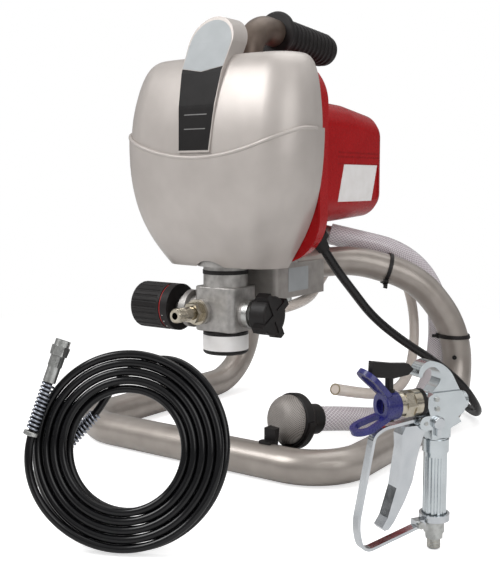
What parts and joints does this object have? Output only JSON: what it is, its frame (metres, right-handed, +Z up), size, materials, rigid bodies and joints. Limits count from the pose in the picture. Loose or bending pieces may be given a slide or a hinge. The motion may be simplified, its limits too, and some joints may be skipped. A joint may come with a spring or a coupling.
{
  "type": "airless paint sprayer",
  "caption": "Electric airless paint sprayer on a bent tube stand, with a suction hose and strainer, a coiled high pressure hose and a trigger spray gun.",
  "frame": {"origin": "on the floor, at the middle of the stand between its side tubes", "axes": "+X to the right seen from the front, +Y back towards the motor, +Z up"},
  "size_m": [0.4636, 0.6312, 0.4437],
  "materials": {
    "stand_paint": "satin champagne grey metallic paint",
    "bracket_paint": "matt grey paint",
    "zinc_steel": "zinc plated",
    "cover_paint": "silver champagne paint, semi gloss",
    "red_plastic": "glossy",
    "cast_aluminium": "die cast, fine grain",
    "lamination_steel": "stacked sheets",
    "gear_steel": "machined, oiled",
    "black_plastic": "fine grain, matt",
    "chrome_rod": "hard chrome",
    "black_rubber": "soft matt",
    "white_plastic": "smooth",
    "nickel_brass": "nickel plated, polished",
    "handle_paint": "satin grey brown paint",
    "clear_hose": "translucent vinyl with white braid",
    "cream_hose": "translucent vinyl",
    "steel_mesh": "fine woven wire",
    "spring_steel": "bright wire",
    "gun_metal": "bead blasted",
    "gun_chrome": "bright chrome",
    "blue_plastic": "semi gloss",
    "bearing_steel": "ground"
  },
  "bodies": {
    "sprayer": {"frame_tube": "stand_paint", "frame_bracket": "bracket_paint", "drive_fasteners": "zinc_steel", "front_cover": "cover_paint", "rear_housing": "red_plastic", "drive_housing": "cast_aluminium", "motor_stator": "lamination_steel", "shaft_bearings": "bearing_steel", "carbon_brushes": "black_plastic", "pump_block": "cast_aluminium", "pump_seals": "black_rubber", "packing_nut": "zinc_steel", "inlet_collar": "black_plastic", "collar_band": "white_plastic", "inlet_seat": "zinc_steel", "outlet_fitting": "nickel_brass", "pressure_control": "cast_aluminium", "prime_valve": "zinc_steel", "handle_tube": "handle_paint", "handle_grip": "black_rubber", "switch_bezel": "black_plastic", "cord_gland": "black_rubber", "power_cord": "black_rubber", "power_plug": "black_rubber", "suction_pipe": "cast_aluminium", "suction_hose": "clear_hose", "return_hose": "cream_hose", "strainer_cap": "black_plastic", "strainer_mesh": "steel_mesh", "hose_clips": "black_plastic", "pressure_hose": "black_rubber", "hose_guards": "spring_steel", "hose_ferrules": "zinc_steel", "gun_body": "gun_metal", "gun_handle": "gun_metal", "gun_fasteners": "zinc_steel", "trigger_guard": "gun_chrome", "nozzle_nut": "nickel_brass", "nozzle_ring": "black_rubber"},
    "motor": {"motor_rotor": "lamination_steel", "motor_pinion": "gear_steel", "motor_fan": "black_plastic"},
    "crank": {"reduction_gear": "gear_steel", "crankshaft": "gear_steel"},
    "piston": {"piston_yoke": "gear_steel", "piston_rod": "chrome_rod"},
    "knob": {"pressure_knob": "black_plastic"},
    "prime_handle": {"prime_valve_handle": "black_plastic"},
    "switch": {"switch_rocker": "black_plastic"},
    "inlet_check": {"inlet_ball": "bearing_steel"},
    "outlet_check": {"outlet_ball": "bearing_steel"},
    "trigger": {"gun_trigger": "gun_chrome"},
    "needle": {"gun_needle": "chrome_rod"},
    "lock": {"trigger_lock": "nickel_brass"},
    "guard": {"tip_guard": "blue_plastic"},
    "tip": {"spray_tip": "black_plastic"},
    "connector": {"gun_connector": "nickel_brass"},
    "nut_near": {"swivel_nut_near": "nickel_brass"},
    "nut_far": {"swivel_nut_far": "nickel_brass"}
  },
  "joints": [
    {"name": "motor_spin", "type": "hinge", "parent": "sprayer", "child": "motor", "pos_m": [0, 0, 0.286], "axis": [0, 1, 0], "continuous": true},
    {"name": "crank_spin", "type": "hinge", "parent": "sprayer", "child": "crank", "pos_m": [0, 0, 0.238], "axis": [0, 1, 0], "continuous": true},
    {"name": "piston_slide", "type": "slide", "parent": "sprayer", "child": "piston", "axis": [0, 0, 1], "range_m": [-0.008, 0.008]},
    {"name": "knob_turn", "type": "hinge", "parent": "sprayer", "child": "knob", "pos_m": [-0.08, -0.089, 0.14], "axis": [1, 0, 0], "range_deg": [0, 270]},
    {"name": "prime_turn", "type": "hinge", "parent": "sprayer", "child": "prime_handle", "pos_m": [0.05, -0.089, 0.14], "axis": [1, 0, 0], "range_deg": [0, 90]},
    {"name": "switch_rock", "type": "hinge", "parent": "sprayer", "child": "switch", "pos_m": [-0.0607, 0.1, 0.3], "axis": [0, 0, -1], "range_deg": [0, 10]},
    {"name": "inlet_lift", "type": "slide", "parent": "sprayer", "child": "inlet_check", "axis": [0, 0, 1], "range_m": [0, 0.003]},
    {"name": "outlet_lift", "type": "slide", "parent": "sprayer", "child": "outlet_check", "axis": [0, -1, 0], "range_m": [0, 0.002]},
    {"name": "trigger_pull", "type": "hinge", "parent": "sprayer", "child": "trigger", "pos_m": [0.269, -0.21772, 0.0966], "axis": [0.866, -0.5, 0], "range_deg": [0, 10], "stiffness_Nm_per_rad": 1, "springref_deg": -5.73},
    {"name": "needle_draw", "type": "slide", "parent": "sprayer", "child": "needle", "axis": [0.5, 0.866, 0], "range_m": [0, 0.0018]},
    {"name": "lock_turn", "type": "hinge", "parent": "sprayer", "child": "lock", "pos_m": [0.28154, -0.214, 0.0965], "axis": [0.866, -0.5, 0], "range_deg": [0, 90]},
    {"name": "guard_swivel", "type": "hinge", "parent": "sprayer", "child": "guard", "pos_m": [0.2555, -0.24111, 0.111], "axis": [-0.5, -0.866, 0], "range_deg": [-90, 90]},
    {"name": "tip_turn", "type": "hinge", "parent": "guard", "child": "tip", "pos_m": [0.2555, -0.24111, 0.111], "axis": [0, 0, 1], "range_deg": [0, 180]},
    {"name": "connector_spin", "type": "hinge", "parent": "sprayer", "child": "connector", "pos_m": [0.276, -0.2056, 0.01], "axis": [0, 0, 1], "continuous": true},
    {"name": "nut_near_spin", "type": "hinge", "parent": "sprayer", "child": "nut_near", "pos_m": [0.0409, -0.35174, 0.14045], "axis": [0.1481, 0.3357, 0.9302], "continuous": true},
    {"name": "nut_far_spin", "type": "hinge", "parent": "sprayer", "child": "nut_far", "pos_m": [0.02462, -0.35233, 0.0512], "axis": [-0.4935, -0.4583, -0.7392], "continuous": true}
  ],
  "couplings": [
    {"joint": "crank_spin", "follows": "motor_spin", "ratio": -0.14286},
    {"joint": "needle_draw", "follows": "trigger_pull", "m_per_rad": 0.009}
  ]
}
